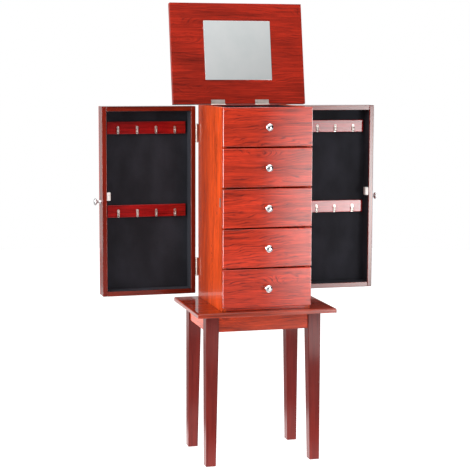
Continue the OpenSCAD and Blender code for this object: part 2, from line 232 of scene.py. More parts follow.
def figure(n, order, seed):
    """How dark the veins, the hairs between them and the knots are, from 0 to 1."""
    bend = n.noise(n.vector(BEND_SCALE, seed, order), 2, 0.45)
    ripple = n.noise(n.vector(RIPPLE_SCALE, seed + 11, order), 2, 0.5)
    knot = n.cell(n.vector(KNOT_SCALE, seed + 9.2, order))
    bend = n.math("MULTIPLY", bend, BEND_RADIANS)
    ripple = n.math("MULTIPLY", ripple, RIPPLE_RADIANS)
    wander = n.math("ADD", bend, ripple)
    wander = n.math("ADD", wander, n.fit(knot, 0.0, KNOT_REACH, KNOT_RADIANS, 0.0))
    across = n.math("ADD", n.xyz[order[1]], n.xyz[order[2]])
    across = n.math("MULTIPLY", across, VEIN_RADIANS_A_METRE)
    phase = n.math("ADD", across, wander)

    def lines(angle, sharpness, places, shift):
        """Lines along the peaks of an angle's sine, in some places only."""
        wave = n.math("ABSOLUTE", n.math("SINE", angle))
        line = n.math("POWER", wave, sharpness)
        scale, low, high = places
        where = n.noise(n.vector(scale, seed + shift, order), 2, 0.55)
        return n.math("MULTIPLY", line, n.fit(where, low, high))

    veins = lines(phase, VEIN_SHARPNESS, VEIN_PLACES, 1.3)
    finer = n.math("MULTIPLY", phase, HAIR_RATIO)
    hairs = lines(finer, HAIR_SHARPNESS, HAIR_PLACES, 6.3)
    hairs = n.math("MULTIPLY", hairs, HAIR_DARKNESS)
    core = n.fit(knot, 0.0, KNOT_CORE, KNOT_DARKNESS, 0.0)
    return n.math("MAXIMUM", n.math("MAXIMUM", veins, hairs), core)


def lacquered(name, along, seed, dark, mid, light, vein, veins, coat, back=1.0):
    """Veneer with its grain along one axis, under a glossy coat.

    It has fine wandering veins, a few knots, fibres and pores. veins is how dark the veins are,
    and back is the tone of a board's back edge, where painted shade darkens the board towards
    its back.
    """
    n = Net(name)
    order = GRAIN[along]
    rays = figure(n, order, seed)
    patch = n.noise(n.vector(PATCH_SCALE, seed + 3.1, order), 2, 0.5)
    fibre = n.noise(n.vector(FIBRE_SCALE, seed + 7.7, order), 4, 0.6)
    streak = n.noise(n.vector(STREAK_SCALE, seed + 2.9, order), 3, 0.6)
    fibres = n.math("MULTIPLY", fibre, FIBRE_SHARE)
    tone = n.math("ADD", fibres, n.math("MULTIPLY", patch, PATCH_SHARE))
    tone = n.math("ADD", tone, n.math("MULTIPLY", streak, STREAK_SHARE))
    wood = n.ramp(tone, *zip(TONE_STOPS, (dark, mid, light)))
    wood = n.mix(n.math("MULTIPLY", rays, veins), wood, vein)
    pore = n.fit(n.noise(n.vector(PORE_SCALE, seed + 5, order), 2, 0.6), *PORE_RANGE)
    wood = n.mix(n.math("MULTIPLY", pore, PORE_DARKNESS), wood, vein)
    # Painted shade: the board grows darker towards its back edge, down to the tone back
    if back < 1.0:
        painted_back_shade = n.fit(n.xyz[1], *BACK_SHADE_Y, 0.0, 1.0 - back)
        wood = n.mix(painted_back_shade, wood, vein)
    n.bump(n.math("SUBTRACT", fibre, pore), *GRAIN_BUMP)
    peel = n.noise(n.vector(PEEL_SCALE, seed), 2, 0.5)
    n.bump(peel, *PEEL_BUMP, "Coat Normal")
    return n.set(
        base_color=wood,
        roughness=n.fit(fibre, 0.2, 0.8, *WOOD_ROUGHNESS),
        specular_ior_level=WOOD_SPECULAR,
        coat_weight=coat,
        coat_roughness=COAT_ROUGHNESS,
        coat_ior=COAT_IOR,
    )


CHERRY_REDS = (0.25, 0.47, 0.66)
CHERRY_GREEN, CHERRY_BLUE = 0.05, 0.018
CHERRY_VEIN = (0.08, 0.008, 0.007)
STAIN_TONES = ((0.08, 0.0055, 0.004), (0.105, 0.0078, 0.0055), (0.132, 0.0105, 0.007))
STAIN_VEIN = (0.075, 0.007, 0.007)
PALE_TONES = ((0.42, 0.26, 0.13), (0.58, 0.39, 0.21), (0.70, 0.50, 0.30))
PALE_VEIN = (0.33, 0.19, 0.10)
STAIN_VEINS, STAIN_COAT = 0.2, 0.25
PALE_VEINS, PALE_COAT = 0.35, 0.12


def cherry(name, along, seed, lift=1.0, veins=0.8, coat=0.8, green=CHERRY_GREEN, back=1.0):
    """The figured red veneer of the boards.

    lift makes all its tones lighter or darker, and green makes them more orange. Per board,
    lift holds both the board's own tone and painted light and shade on that board.
    """
    tones = ((r * lift, r * lift * green, r * lift * CHERRY_BLUE) for r in CHERRY_REDS)
    vein = tuple(c * lift for c in CHERRY_VEIN)
    return lacquered(name, along, seed, *tones, vein, veins, coat, back)


def stained(name, along, seed):
    """The plain darker stain of the legs."""
    return lacquered(name, along, seed, *STAIN_TONES, STAIN_VEIN, STAIN_VEINS, STAIN_COAT)


def pale_wood(name):
    """Unstained wood of the drawer boxes, runners and corner blocks."""
    return lacquered(name, "x", 4.4, *PALE_TONES, PALE_VEIN, PALE_VEINS, PALE_COAT)


PILE_SCALE, PILE_BUMP = (1900, 1900, 1900), (0.5, 0.0004)
BRUSHED_SCALE = (16, 16, 9)
VELVET_SHADES = (0.6, 1.5)
VELVET_SHEEN, VELVET_SHEEN_TINT = 0.05, (0.55, 0.6, 0.75)
METAL_WORN = 0.86


def velvet(name, seed, tint):
    """Short black pile with a soft sheen, brushed a little unevenly."""
    n = Net(name)
    pile = n.noise(n.vector(PILE_SCALE, seed), 2, 0.7)
    brushed = n.noise(n.vector(BRUSHED_SCALE, seed + 2), 3, 0.55)
    low, high = (tuple(c * k for c in tint) for k in VELVET_SHADES)
    shade = n.math("ADD", n.math("MULTIPLY", pile, 0.5), n.math("MULTIPLY", brushed, 0.5))
    n.bump(pile, *PILE_BUMP)
    return n.set(
        base_color=n.ramp(shade, (0.35, low), (0.68, high)),
        roughness=n.fit(brushed, 0.3, 0.7, 0.82, 0.98),
        specular_ior_level=0.1,
        sheen_weight=VELVET_SHEEN,
        sheen_roughness=0.45,
        sheen_tint=VELVET_SHEEN_TINT,
    )


def metal(name, colour, rough, brush, seed):
    """Bare metal. brush is how much finer its marks are along Z and Y than along X."""
    n = Net(name)
    mark = n.noise(n.vector((90, 90 * brush, 90 * brush), seed), 3, 0.6)
    dull = n.noise(n.vector((35, 35, 35), seed + 4), 3, 0.6)
    worn = tuple(c * METAL_WORN for c in colour)
    n.bump(mark, 0.06, 0.0001)
    return n.set(
        base_color=n.ramp(dull, (0.35, worn), (0.62, colour)),
        metallic=1.0,
        roughness=n.fit(n.math("ADD", mark, dull), 0.7, 1.3, rough * 0.6, rough * 1.5),
    )


def silvered_glass(name):
    """Mirror: silvering behind glass, with very faint haze."""
    n = Net(name)
    haze = n.noise(n.vector((9, 9, 9), 2.2), 3, 0.6)
    return n.set(
        base_color=n.ramp(haze, (0.3, (0.86, 0.9, 0.9)), (0.7, (0.93, 0.95, 0.95))),
        metallic=1.0,
        roughness=n.fit(haze, 0.3, 0.7, 0.006, 0.02),
    )


def nylon(name):
    """Moulded plastic of the catches."""
    n = Net(name)
    cloud = n.noise(n.vector((260, 260, 260), 3.3), 3, 0.6)
    n.bump(cloud, 0.1, 0.0001)
    return n.set(
        base_color=n.ramp(cloud, (0.3, (0.62, 0.61, 0.59)), (0.7, (0.74, 0.73, 0.71))),
        roughness=n.fit(cloud, 0.2, 0.8, 0.38, 0.5),
    )


# One copy of the cherry veneer for each kind of board. Each copy's lift is partly painted light
# and shade: the side panels and side aprons, which face the main lamp, are lightest, and the
# door rims are darkest. The side panel's copy also has painted shade towards its back edge.
M = {
    "side": cherry("cherry_side", "z", 1.0, 1.15, 0.85, 0.3, 0.11, 0.5),
    "front": cherry("cherry_front", "x", 2.0, 0.82, 0.8, 0.9, 0.062),
    "lid": cherry("cherry_lid", "x", 5.0, 0.52, 0.55, 0.12),
    "top": cherry("cherry_top", "x", 8.0, 0.53, 0.6, 0.9, 0.085),
    "apron": cherry("cherry_apron", "x", 11.0, 0.82, 0.95, 0.14, 0.085),
    "side_apron": cherry("cherry_side_apron", "y", 12.5, 1.25, coat=0.7, green=0.1),
    "rim_v": cherry("cherry_rim_upright", "z", 14.0, 0.24, 0.15, 0.78, 0.06),
    "rim_h": cherry("cherry_rim_level", "x", 15.0, 0.25, 0.15, 1.0, 0.07),
    "skin": cherry("cherry_skin", "z", 17.0, 0.74),
    "rail": cherry("cherry_rail", "x", 19.0, 0.54, 0.25, 0.82, 0.018),
    "leg": stained("stain_leg", "z", 21.0),
    "plain": pale_wood("pale_wood"),
    "velvet": velvet("velvet", 1.5, (0.0175, 0.018, 0.0225)),
    "rolls": velvet("velvet_rolls", 8.5, (0.013, 0.013, 0.015)),
    "steel": metal("nickel_steel", (0.56, 0.49, 0.45), 0.42, 8, 3.0),
    "hook": metal("bright_nickel", (0.56, 0.5, 0.47), 0.36, 1, 7.0),
    "chrome": metal("chrome", (0.86, 0.86, 0.87), 0.06, 1, 6.0),
    "zinc": metal("zinc_bolt", (0.55, 0.55, 0.56), 0.42, 1, 9.0),
    "mirror": silvered_glass("mirror_glass"),
    "nylon": nylon("pale_nylon"),
}


# ---- Mesh helpers ----
SAME_POINT = 2e-6
FLAT_ANGLE = math.radians(0.4)


def place(bm, name, material, body, slot, node=None):
    """Makes a piece of a bmesh. It rides on a body, and replaces a CAD node if one is named."""
    mesh = bpy.data.meshes.new(name)
    bm.to_mesh(mesh)
    bm.free()
    if "custom_normal" in mesh.attributes:
        mesh.attributes.remove(mesh.attributes["custom_normal"])
    mesh.materials.clear()
    mesh.materials.append(M[material])
    mesh.shade_smooth()
    piece = bpy.data.objects.new(name, mesh)
    bpy.context.scene.collection.objects.link(piece)
    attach(piece, body)
    if node:
        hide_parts(node)
    return piece


def soften(piece, width, segments=3, angle=30):
    """Rounds a piece's sharp edges."""
    bevel = piece.modifiers.new("edges", "BEVEL")
    bevel.width = width
    bevel.segments = segments
    bevel.limit_method = "ANGLE"
    bevel.angle_limit = math.radians(angle)
    bevel.harden_normals = True
    bevel.use_clamp_overlap = True
    return piece


def solid_of(node):
    """A CAD node's surface as a bmesh, with its flat faces made whole."""
    bm = bmesh.new()
    bm.from_mesh(NODES[node].data)
    bmesh.ops.remove_doubles(bm, verts=bm.verts, dist=SAME_POINT)
    bmesh.ops.dissolve_limit(bm, angle_limit=FLAT_ANGLE, verts=bm.verts, edges=bm.edges)
    return bm


def finished(node, material, slot, width, chamfer=0.0):
    """A CAD node's shape with rounded edges. chamfer is cut round its front face first."""
    body = NODES[node]["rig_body"]
    bm = solid_of(node)
    if chamfer:
        weight = bm.edges.layers.float.new("bevel_weight_edge")
        face_y = min(v.co.y for v in bm.verts)
        for e in bm.edges:
            e[weight] = float(all(v.co.y < face_y + MM for v in e.verts))
    piece = place(bm, node + "_finished", material, body, slot, node)
    if chamfer:
        cut = soften(piece, chamfer, 1)
        cut.modifiers[-1].limit_method = "WEIGHT"
        cut.modifiers[-1].harden_normals = False
    return soften(piece, width)


def add_box(bm, low, high):
    """A box between two corners, in a bmesh."""
    made = bmesh.ops.create_cube(bm, size=1)["verts"]
    low, high = Vector(low), Vector(high)
    for v in made:
        v.co = Vector((low[k] + (v.co[k] + 0.5) * (high[k] - low[k]) for k in range(3)))


def closing(body):
    """The matrix that turns a hinged body's rest shape to its closed place."""
    joint = JOINTS[body]
    angle = max(joint["range_deg"], key=abs)
    at = Matrix.Translation(joint["pos_m"])
    return at @ Matrix.Rotation(math.radians(angle), 4, joint["axis"]) @ at.inverted()


def closed_points(node):
    turn = closing(NODES[node]["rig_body"])
    return [turn @ v.co for v in NODES[node].data.vertices]


def spread(points):
    """(lowest corner, highest corner) of some points."""
    return Vector(map(min, *points)), Vector(map(max, *points))


def closed_box(node):
    return spread(closed_points(node))


def islands(points, edges):
    """The points of each separate solid."""
    near = {}
    for k, p in enumerate(points):
        near.setdefault(tuple(round(c, 6) for c in p), []).append(k)
    parent = list(range(len(points)))

    def root(k):
        while parent[k] != k:
            parent[k] = parent[parent[k]]
            k = parent[k]
        return k

    for same in near.values():
        for k in same[1:]:
            parent[root(k)] = root(same[0])
    for a, b in edges:
        parent[root(a)] = root(b)
    groups = {}
    for k, p in enumerate(points):
        groups.setdefault(root(k), []).append(p)
    return list(groups.values())


def node_islands(node, closed=False):
    mesh = NODES[node].data
    points = closed_points(node) if closed else [v.co.copy() for v in mesh.vertices]
    return islands(points, [tuple(e.vertices) for e in mesh.edges])


def lathe(bm, profile, steps, at, axis):
    """Turns a profile of (radius, height) round an axis. A radius of 0 closes the end."""
    turn = Vector((0, 0, 1)).rotation_difference(Vector(axis)).to_matrix()
    at = Vector(at)
    rings = []
    for radius, height in profile:
        if radius == 0:
            rings.append([bm.verts.new(at + turn @ Vector((0, 0, height)))])
            continue
        ring = []
        for k in range(steps):
            angle = math.tau * k / steps
            spot = Vector((radius * math.cos(angle), radius * math.sin(angle), height))
            ring.append(bm.verts.new(at + turn @ spot))
        rings.append(ring)
    for low, high in zip(rings, rings[1:]):
        for k in range(steps):
            j = (k + 1) % steps
            corners = []
            around = ((low, k), (low, j), (high, j), (high, k))
            for v in (ring[m % len(ring)] for ring, m in around):
                if v not in corners:
                    corners.append(v)
            if len(corners) > 2:
                bm.faces.new(corners)
    bmesh.ops.recalc_face_normals(bm, faces=bm.faces)


SCREW_STEPS, SCREW_RINGS = 40, 11
SCREW_SINK, RECESS_SHARE = 0.5 * MM, 0.7
RECESS_ARM, RECESS_WIDTH = 0.62, 0.13


def screw(bm, at, axis, radius, rise, turned):
    """A countersunk head with a cross recess, sunk so that only its crown stands proud."""
    turn = Vector((0, 0, 1)).rotation_difference(Vector(axis)).to_matrix()
    at = Vector(at)
    arm, wide = radius * RECESS_ARM, radius * RECESS_WIDTH

    def slot_at(along, side):
        """How deep one slot of the cross is at a point, from 0 to 1."""
        inside = min(1, max(0, (wide * 1.5 - abs(side)) / wide))
        return inside * min(1, max(0, (arm - abs(along)) / wide))

    crown = []
    for r in range(SCREW_RINGS + 1):
        share = r / SCREW_RINGS
        ring = []
        for k in range(SCREW_STEPS if r else 1):
            angle = math.tau * k / SCREW_STEPS
            x, y = radius * share * math.cos(angle), radius * share * math.sin(angle)
            u = x * math.cos(turned) + y * math.sin(turned)
            v = y * math.cos(turned) - x * math.sin(turned)
            cut = max(slot_at(u, v), slot_at(v, u))
            height = rise * (1 - share**4) - cut * (SCREW_SINK * RECESS_SHARE)
            ring.append(bm.verts.new(at + turn @ Vector((x, y, height))))
        crown.append(ring)
    foot = []
    for k in range(SCREW_STEPS):
        angle = math.tau * k / SCREW_STEPS
        spot = Vector((radius * math.cos(angle), radius * math.sin(angle), -SCREW_SINK))
        foot.append(bm.verts.new(at + turn @ spot))
    crown.append(foot)
    for inner, outer in zip(crown, crown[1:]):
        for k in range(SCREW_STEPS):
            j = (k + 1) % SCREW_STEPS
            if len(inner) == 1:
                bm.faces.new((inner[0], outer[k], outer[j]))
            else:
                bm.faces.new((inner[k], outer[k], outer[j], inner[j]))
    bm.faces.new(list(reversed(foot)))


def box_corners(low, high, z):
    """The corners of a box at one level, in order round it."""
    spots = ((low.x, low.y), (high.x, low.y), (high.x, high.y), (low.x, high.y))
    return [(x, y, z) for x, y in spots]


def stack(bm, rings):
    """Joins rings of points, each to the next, and fills the two ends."""
    rings = [[bm.verts.new(point) for point in ring] for ring in rings]
    count = len(rings[0])
    for one, two in zip(rings, rings[1:]):
        for k in range(count):
            j = (k + 1) % count
            bm.faces.new((one[k], one[j], two[j], two[k]))
    bm.faces.new(list(reversed(rings[0])))
    bm.faces.new(rings[-1])


# ---- Stand ----
TOP_ROUND = 4.0 * MM
UPPER_SHARE, CORNER_SHARE, LOWER_SHARE = 1.0, 0.5, 0.25
LEG_ROUND, LEG_EDGE_DEGREES = 1.4 * MM, 20


def stand_top():
    """The stand's top board. Its upper edges are the roundest."""
    low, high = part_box("stand_top")
    bm = bmesh.new()
    add_box(bm, low, high)
    weight = bm.edges.layers.float.new("bevel_weight_edge")
    for e in bm.edges:
        level = abs(e.verts[0].co.z - e.verts[1].co.z) < MM
        upper = e.verts[0].co.z > (low.z + high.z) / 2
        e[weight] = (UPPER_SHARE if upper else LOWER_SHARE) if level else CORNER_SHARE
    piece = place(bm, "stand_top_finished", "top", "cabinet", "cherry_veneer", "stand_top")
    bevel = soften(piece, TOP_ROUND, 6).modifiers[0]
    bevel.limit_method = "WEIGHT"


def leg(node):
    """A leg, straight outside and tapered inside from the aprons down."""
    low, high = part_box(node)
    foot = spread([v.co for v in NODES[node].data.vertices if v.co.z < low.z + MM])
    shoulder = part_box("front_apron")[0].z
    levels = ((low.z, foot), (shoulder, (low, high)), (high.z, (low, high)))
    bm = bmesh.new()
    stack(bm, [box_corners(a, b, z) for z, (a, b) in levels])
    piece = place(bm, node + "_finished", "leg", "cabinet", "stained_legs", node)
    soften(piece, LEG_ROUND, angle=LEG_EDGE_DEGREES)


# ---- Cabinet ----
ROLL_STEPS, ROLL_SLICES, ROLL_END = 40, 60, 5.5 * MM
ROLL_END_CURVE, ROLL_FULLNESS, ROLL_LEAST = 2.2, 0.94, 0.03
# Depth, radians along the roll, and shift from one roll to the next
ROLL_RIPPLES = ((0.012, 31, 2.1), (0.01, 67, 1.0))
GATHER_DEPTH, GATHERS = 0.05, 10
SEAM_DEPTH, SEAM_RADIANS, SEAM_AT = 0.05, 0.12, 1.5 * math.pi


def ring_rolls():
    """Soft rolls side by side.

    Each is a stuffed tube with gathered ends and a seam along its underside.
    """
    rolls = sorted(node_islands("ring_rolls"), key=lambda p: p[0].y)
    for number, points in enumerate(rolls, 1):
        low, high = spread(points)
        centre, half = (low + high) / 2, (high - low) / 2
        rings = []
        for s in range(ROLL_SLICES + 1):
            t = s / ROLL_SLICES
            x = low.x + t * (high.x - low.x)
            fall = max(0.0, 1 - min(x - low.x, high.x - x) / ROLL_END)
            size = math.sqrt(max(0.0, 1 - fall**ROLL_END_CURVE)) * ROLL_FULLNESS + ROLL_LEAST
            ripple = 1.0
            for depth, radians, shift in ROLL_RIPPLES:
                ripple += depth * math.sin(radians * t + shift * number)
            size *= ripple
            ring = []
            for k in range(ROLL_STEPS):
                angle = math.tau * k / ROLL_STEPS
                gather = 1 + GATHER_DEPTH * fall * math.cos(GATHERS * angle + number)
                seam = 1 - SEAM_DEPTH * math.exp(-(((angle - SEAM_AT) / SEAM_RADIANS) ** 2))
                reach = min(1.0, size * gather) * seam
                y = centre.y + half.y * reach * math.cos(angle)
                ring.append((x, y, centre.z + half.z * reach * math.sin(angle)))
            rings.append(ring)
        bm = bmesh.new()
        stack(bm, rings)
        bmesh.ops.recalc_face_normals(bm, faces=bm.faces)
        name = f"ring_roll_{number:02d}"
        piece = place(bm, name, "rolls", "cabinet", "velvet_rolls", "ring_rolls")


# ---- Drawers ----
EDGE_CHAMFER = 1.5 * MM
FRONT_ROUND, BOX_ROUND, LINER_ROUND = 0.6 * MM, 0.7 * MM, 0.3 * MM
LINER_SKIN, LINER_AIR, LINER_DROP = 0.8 * MM, 0.05 * MM, 3 * MM


def drawer(i):
    body = f"drawer_{i}"
    finished(body + "_front", "front", "cherry_veneer", FRONT_ROUND, EDGE_CHAMFER)
    finished(body + "_box", "plain", "plain_wood", BOX_ROUND)
    low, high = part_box(body + "_box")
    levels = sorted({round(v.co.z, 5) for v in NODES[body + "_box"].data.vertices})
    across = sorted({round(v.co.x, 5) for v in NODES[body + "_box"].data.vertices})
    inset, floor = across[1] - across[0] + LINER_AIR, levels[1]
    a = Vector((low.x + inset, low.y + inset, floor + LINER_AIR))
    b = Vector((high.x - inset, high.y - inset, high.z - LINER_DROP))
    liner(body, a, b)


def liner(body, low, high):
    """A drawer's open velvet lining, of even thickness."""
    inner_low = low + Vector((LINER_SKIN, LINER_SKIN, LINER_SKIN))
    inner_high = Vector((high.x - LINER_SKIN, high.y - LINER_SKIN, high.z))
    bm = bmesh.new()
    rings = (
        box_corners(low, high, low.z),
        box_corners(low, high, high.z),
        box_corners(inner_low, inner_high, high.z),
        box_corners(inner_low, inner_high, inner_low.z),
    )
    stack(bm, rings)
    bmesh.ops.recalc_face_normals(bm, faces=bm.faces)
    soften(place(bm, body + "_liner", "velvet", body, "velvet"), LINER_ROUND, 2)


# Radii and heights of the knob's outline, in millimetres
KNOB_PROFILE = (
    (0, 0), (5.2, 0), (5.5, 0.3), (5.5, 1.1), (5.0, 1.6), (3.9, 2.1), (3.3, 3.2), (3.0, 5.0),
    (3.0, 7.0), (3.4, 8.6), (4.6, 10.0), (6.6, 11.1), (8.2, 11.9), (8.85, 12.8), (9.0, 13.8),
    (8.8, 14.7), (8.2, 15.5), (7.2, 16.2), (5.8, 16.9), (4.0, 17.5), (2.0, 17.9), (0, 18.0),
)  # fmt: skip
KNOB_STEPS = 64


def knob(node):
    """A turned knob with a waisted neck, on the plane where its base touches the board."""
    body = NODES[node]["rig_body"]
    turn = closing(body) if body in ("left_door", "right_door") else Matrix.Identity(4)
    low, high = spread([turn @ v.co for v in NODES[node].data.vertices])
    base = Vector(((low.x + high.x) / 2, high.y, (low.z + high.z) / 2))
    bm = bmesh.new()
    profile = [(r * MM, h * MM) for r, h in KNOB_PROFILE]
    lathe(bm, profile, KNOB_STEPS, base, (0, -1, 0))
    bmesh.ops.transform(bm, matrix=turn.inverted(), verts=bm.verts)
    piece = place(bm, node + "_turned", "chrome", body, "chrome", node)
    smooth = piece.modifiers.new("smooth", "SUBSURF")
    smooth.levels = smooth.render_levels = 1


# ---- Doors ----
BOARD = 12 * MM
STILE_ROUND, CROSSPIECE_ROUND = 1.6 * MM, 0.7 * MM
SKIN_ROUND, LINING_ROUND, RAIL_ROUND = 1.2 * MM, 0.4 * MM, 1.0 * MM


def door(side):
    """A door's frame boards, drawn on the closed armoire and turned to where they rest."""
    body = side + "_door"
    back = closing(body).inverted()

    def put(bm, name, material, node, width):
        bmesh.ops.transform(bm, matrix=back, verts=bm.verts)
        soften(place(bm, name, material, body, "cherry_veneer", node), width)

    low, high = closed_box(side + "_door_frame")
    boards = bmesh.new()
    for y0, y1 in ((low.y, low.y + BOARD), (high.y - BOARD, high.y)):
        add_box(boards, (low.x, y0, low.z), (high.x, y1, high.z))
    put(boards, side + "_door_stiles", "rim_v", side + "_door_frame", STILE_ROUND)
    boards = bmesh.new()
    for z0, z1 in ((low.z, low.z + BOARD), (high.z - BOARD, high.z)):
        add_box(boards, (low.x, low.y + BOARD, z0), (high.x, high.y - BOARD, z1))
    put(boards, side + "_door_crosspieces", "rim_h", None, CROSSPIECE_ROUND)
    finished(side + "_door_skin", "skin", "cherry_veneer", SKIN_ROUND)
    finished(side + "_door_lining", "velvet", "velvet", LINING_ROUND)
    finished(side + "_hook_rails", "rail", "cherry_veneer", RAIL_ROUND)
    knob(side + "_door_knob")


# ---- Hardware ----
SCREW_R, SCREW_RISE = 2.3 * MM, 0.15 * MM
FIRST_TURN, NEXT_TURN, STRIKE_TURN = 0.7, 1.9, 0.4
# Where the hinges' screws are from the pins: body, its leaf's face, and the way it faces
LID_LEAF_FACES = (("lid", 1.2 * MM, -1), ("cabinet", 0.8 * MM, 1))
LID_SCREWS_BEHIND, LID_SCREW_PITCH = 8.4 * MM, 12 * MM
# Body, its leaf's face, and how far along the leaf the screws are
DOOR_LEAF_FACES = (("door", -2.4 * MM, -11 * MM), ("cabinet", 1.2 * MM, 14 * MM))
DOOR_SCREW_PITCH, DOOR_SCREW_RISE = 15 * MM, 0.4 * MM
HOOK_SCREW_R, HOOK_SCREW_RISE = 1.9 * MM, 0.35 * MM
HOOK_PLATE, HOOK_SCREW_BELOW = MM, 3 * MM
CATCH_SUNK, CATCH_ROUND = 0.6 * MM, 0.7 * MM
POLE_SIDES, POLE_DEPTH = (1.2 * MM, 2.6 * MM), 3 * MM
POLE_INSET, POLE_ROUND = 2 * MM, 0.25 * MM


def screws(name, body, spots, axis, radius=SCREW_R, rise=SCREW_RISE):
    """Screw heads at some places of the closed armoire, all facing one way."""
    bm = bmesh.new()
    for k, at in enumerate(spots):
        screw(bm, at, axis, radius, rise, FIRST_TURN + NEXT_TURN * k)
    if body in JOINTS and "range_deg" in JOINTS[body]:
        bmesh.ops.transform(bm, matrix=closing(body).inverted(), verts=bm.verts)
    place(bm, name, "steel", body, "steel")


def hinge_screws():
    """Three screws in each leaf that shows."""
    pin = Vector(JOINTS["lid"]["pos_m"])
    middles = [spread(points) for points in node_islands("lid_hinge_pins")]
    centres = sorted((low.x + high.x) / 2 for low, high in middles)
    for body, face, way in LID_LEAF_FACES:
        spots = [
            (x + dx, pin.y - LID_SCREWS_BEHIND, pin.z + face)
            for x in centres
            for dx in (-LID_SCREW_PITCH, 0, LID_SCREW_PITCH)
        ]
        screws(f"{body}_lid_hinge_screws", body, spots, (0, 0, way))
    middles = [spread(points) for points in node_islands("door_hinge_pins")]
    heights = sorted({round((low.z + high.z) / 2, 5) for low, high in middles})
    for side, sign in (("left", 1), ("right", -1)):
        pin = Vector(JOINTS[side + "_door"]["pos_m"])
        for part, face, reach in DOOR_LEAF_FACES:
            spots = [
                (pin.x + sign * reach, pin.y + face, z + dz)
                for z in heights
                for dz in (-DOOR_SCREW_PITCH, 0, DOOR_SCREW_PITCH)
            ]
            body = side + "_door" if part == "door" else "cabinet"
            name = f"{side}_{part}_hinge_screws"
            screws(name, body, spots, (0, 1, 0), rise=DOOR_SCREW_RISE)


def hook_screws(side):
    """A small screw through the upper end of each hook's plate."""
    way = 1 if side == "left" else -1
    spots = []
    for points in node_islands(side + "_hooks", closed=True):
        low, high = spread(points)
        back = low.x if way > 0 else high.x
        y = (low.y + high.y) / 2
        spots.append((back + way * HOOK_PLATE, y, high.z - HOOK_SCREW_BELOW))
    spots.sort(key=lambda p: (p[2], p[1]))
    name, body = side + "_hook_screws", side + "_door"
    screws(name, body, spots, (way, 0, 0), HOOK_SCREW_R, HOOK_SCREW_RISE)


def catch(side):
    """A magnetic catch: a plastic body with two steel pole plates let into its face."""
    node, body = side + "_door_catch", side + "_door"
    low, high = closed_box(node)
    back = closing(body).inverted()
    way = 1 if side == "left" else -1
    face = high.x if way > 0 else low.x
    sunk = face - way * CATCH_SUNK
    bm = bmesh.new()
    ends = sorted((sunk, low.x if way > 0 else high.x))
    add_box(bm, (ends[0], low.y, low.z), (ends[1], high.y, high.z))
    bmesh.ops.transform(bm, matrix=back, verts=bm.verts)
    soften(place(bm, node + "_body", "nylon", body, "steel", node), CATCH_ROUND)
    bm = bmesh.new()
    middle = (low.y + high.y) / 2
    near, far = POLE_SIDES
    ends = sorted((sunk - way * POLE_DEPTH, face))
    for y0, y1 in ((middle - far, middle - near), (middle + near, middle + far)):
        add_box(bm, (ends[0], y0, low.z + POLE_INSET), (ends[1], y1, high.z - POLE_INSET))
    bmesh.ops.transform(bm, matrix=back, verts=bm.verts)
    soften(place(bm, node + "_poles", "steel", body, "steel"), POLE_ROUND, 2)


def strike_screws():
    """One screw in the middle of each strike plate."""
    for points in node_islands("side_strike_plates"):
        low, high = spread(points)
        way = -1 if low.x < 0 else 1
        at = (low.x if way < 0 else high.x, (low.y + high.y) / 2, (low.z + high.z) / 2)
        side = "left" if way < 0 else "right"
        bm = bmesh.new()
        screw(bm, at, (way, 0, 0), SCREW_R, SCREW_RISE, STRIKE_TURN)
        place(bm, side + "_strike_screw", "steel", "cabinet", "steel")


# ---- Build ----
LEGS = ("front_left", "front_right", "back_left", "back_right")
# Boards of the stand and the cabinet, and how round their edges are in millimetres
BOARDS = (
    ("front_apron", "apron", 1.0),
    ("back_apron", "apron", 1.0),
    ("left_apron", "side_apron", 1.0),
    ("right_apron", "side_apron", 1.0),
    ("left_side_panel", "side", 0.8),
    ("right_side_panel", "side", 0.8),
    ("back_panel", "skin", 0.6),
    ("bottom_panel", "front", 0.6),
    ("top_rails", "front", 0.6),
    ("tray_floor", "front", 0.6),
)
LID_ROUND, GLASS_ROUND, PLATE_ROUND = 1.6 * MM, 0.5 * MM, 0.5 * MM
# CAD nodes that are shown as they are
PLAIN_NODES = (
    ("corner_blocks", "plain"),
    ("drawer_runners", "plain"),
    ("leg_bolts", "zinc"),
    ("door_hinge_frame_leaves", "steel"),
    ("door_hinge_pins", "steel"),
    ("lid_hinge_frame_leaves", "steel"),
    ("lid_hinge_pins", "steel"),
    ("lid_hinge_lid_leaves", "steel"),
    ("left_hooks", "hook"),
    ("right_hooks", "hook"),
    ("left_door_hinge_leaves", "steel"),
    ("right_door_hinge_leaves", "steel"),
)

stand_top()
for corner in LEGS:
    leg(corner + "_leg")
for name, material, width in BOARDS:
    finished(name, material, "cherry_veneer", width * MM)
finished("tray_lining", "velvet", "velvet", LINING_ROUND)
ring_rolls()
finished("lid_panel", "lid", "cherry_veneer", LID_ROUND)
finished("mirror", "mirror", "mirror", GLASS_ROUND)
for i in DRAWERS:
    drawer(i)
    knob(f"drawer_{i}_knob")
for side in ("left", "right"):
    door(side)
    hook_screws(side)
    catch(side)
hinge_screws()
strike_screws()
finished("side_strike_plates", "steel", "steel", PLATE_ROUND)
for name, material in PLAIN_NODES:
    for slot in NODES[name].material_slots:
        slot.material = M[material]


# ---- Stage and light ----
FLOOR_GLOW = 0.85
NEAR_GLOW = 2.1
NEAR_RADII = (0.2, 0.42)
FLOOR_RADIUS, FLOOR_STEPS = 4.0, 96
FLOOR_GREYS = ((0.38, 0.38, 0.38), (0.4, 0.4, 0.4))


